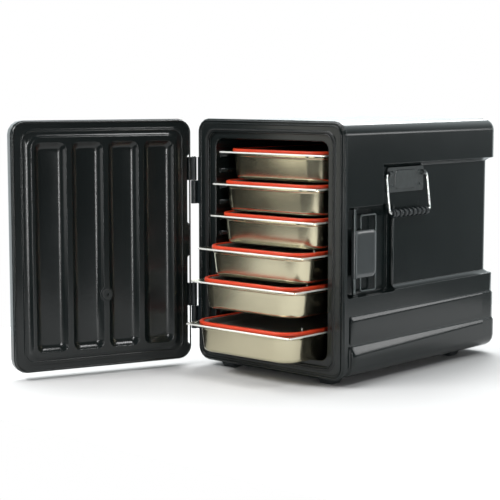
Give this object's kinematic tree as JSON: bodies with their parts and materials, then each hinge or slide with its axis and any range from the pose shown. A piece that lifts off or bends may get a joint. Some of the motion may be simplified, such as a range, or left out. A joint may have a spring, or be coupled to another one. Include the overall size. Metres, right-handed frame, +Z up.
{
  "type": "insulated food carrier",
  "caption": "Insulated front-loading box with a side-hinged door, lever latch, lifting handles and covered food pans that slide on ledges, for carrying hot or cold food.",
  "frame": {"origin": "centre of the body's flat underside", "axes": "+Z up, +Y from the open front to the back, +X towards the latch side"},
  "size_m": [0.6552, 1.0606, 0.5998],
  "materials": {
    "body_plastic": "satin",
    "liner_plastic": "satin",
    "foam": "matte",
    "gasket_rubber": "matte",
    "foot_rubber": "matte",
    "hinge_plastic": "satin",
    "vent_plastic": "satin",
    "latch_plastic": "gloss",
    "fitting_steel": "polished",
    "pan_steel": "brushed",
    "lid_steel": "polished",
    "lid_silicone": "satin",
    "grip_rubber": "satin",
    "bracket_plastic": "satin"
  },
  "bodies": {
    "carrier": {"outer_shell": "body_plastic", "insulation_core": "foam", "inner_liner": "liner_plastic", "front_gasket": "gasket_rubber", "foot_front_left": "foot_rubber", "foot_front_right": "foot_rubber", "foot_rear_left": "foot_rubber", "foot_rear_right": "foot_rubber", "hinge_lower_body_leaf": "hinge_plastic", "hinge_upper_body_leaf": "hinge_plastic", "hinge_lower_pin": "fitting_steel", "hinge_upper_pin": "fitting_steel", "latch_axle": "fitting_steel", "handle_right_bracket": "bracket_plastic", "handle_left_bracket": "bracket_plastic"},
    "door": {"door_outer_shell": "body_plastic", "door_insulation": "foam", "door_liner": "liner_plastic", "door_vent": "vent_plastic", "hinge_lower_door_leaf": "hinge_plastic", "hinge_upper_door_leaf": "hinge_plastic"},
    "latch_lever": {"latch_lever": "latch_plastic"},
    "latch_loop": {"latch_loop": "fitting_steel"},
    "handle_right": {"handle_right_bail": "fitting_steel", "handle_right_grip": "grip_rubber"},
    "handle_left": {"handle_left_bail": "fitting_steel", "handle_left_grip": "grip_rubber"},
    "pan_set_1": {"pan_1": "pan_steel", "pan_1_lid": "lid_steel", "pan_1_lid_seal": "lid_silicone", "pan_1_lid_vent": "fitting_steel"},
    "pan_set_2": {"pan_2": "pan_steel", "pan_2_lid": "lid_steel", "pan_2_lid_seal": "lid_silicone", "pan_2_lid_vent": "fitting_steel"},
    "pan_set_3": {"pan_3": "pan_steel", "pan_3_lid": "lid_steel", "pan_3_lid_seal": "lid_silicone", "pan_3_lid_vent": "fitting_steel"},
    "pan_set_4": {"pan_4": "pan_steel", "pan_4_lid": "lid_steel", "pan_4_lid_seal": "lid_silicone", "pan_4_lid_vent": "fitting_steel"},
    "pan_set_5": {"pan_5": "pan_steel", "pan_5_lid": "lid_steel", "pan_5_lid_seal": "lid_silicone", "pan_5_lid_vent": "fitting_steel"},
    "pan_set_6": {"pan_6": "pan_steel", "pan_6_lid": "lid_steel", "pan_6_lid_seal": "lid_silicone", "pan_6_lid_vent": "fitting_steel"}
  },
  "joints": [
    {"name": "door_hinge", "type": "hinge", "parent": "carrier", "child": "door", "pos_m": [-0.233, -0.316, 0.28], "axis": [0, 0, -1], "range_deg": [-110, 85]},
    {"name": "latch_lever_pivot", "type": "hinge", "parent": "carrier", "child": "latch_lever", "pos_m": [0.212, -0.257, 0.279], "axis": [0, 0, -1], "range_deg": [0, 145]},
    {"name": "latch_loop_pivot", "type": "hinge", "parent": "latch_lever", "child": "latch_loop", "pos_m": [0.205, -0.225, 0.279], "axis": [0, 0, -1], "range_deg": [0, 35]},
    {"name": "handle_right_pivot", "type": "hinge", "parent": "carrier", "child": "handle_right", "pos_m": [0.2135, -0.063, 0.455], "axis": [0, -1, 0], "range_deg": [0, 100]},
    {"name": "handle_left_pivot", "type": "hinge", "parent": "carrier", "child": "handle_left", "pos_m": [-0.2135, -0.063, 0.455], "axis": [0, 1, 0], "range_deg": [0, 100]},
    {"name": "pan_1_slide", "type": "slide", "parent": "carrier", "child": "pan_set_1", "axis": [0, -1, 0], "range_m": [-0.012, 0.0093]},
    {"name": "pan_2_slide", "type": "slide", "parent": "carrier", "child": "pan_set_2", "axis": [0, -1, 0], "range_m": [-0.035, 0.0271]},
    {"name": "pan_3_slide", "type": "slide", "parent": "carrier", "child": "pan_set_3", "axis": [0, -1, 0], "range_m": [-0.043, 0.0333]},
    {"name": "pan_4_slide", "type": "slide", "parent": "carrier", "child": "pan_set_4", "axis": [0, -1, 0], "range_m": [-0.085, 0.0657]},
    {"name": "pan_5_slide", "type": "slide", "parent": "carrier", "child": "pan_set_5", "axis": [0, -1, 0], "range_m": [-0.11, 0.0851]},
    {"name": "pan_6_slide", "type": "slide", "parent": "carrier", "child": "pan_set_6", "axis": [0, -1, 0], "range_m": [-0.127, 0.0982]}
  ],
  "couplings": [
    {"joint": "pan_1_slide", "follows": "door_hinge", "m_per_rad": 0.00625},
    {"joint": "pan_2_slide", "follows": "door_hinge", "m_per_rad": 0.01823},
    {"joint": "pan_3_slide", "follows": "door_hinge", "m_per_rad": 0.022397},
    {"joint": "pan_4_slide", "follows": "door_hinge", "m_per_rad": 0.044274},
    {"joint": "pan_5_slide", "follows": "door_hinge", "m_per_rad": 0.057295},
    {"joint": "pan_6_slide", "follows": "door_hinge", "m_per_rad": 0.06615}
  ]
}
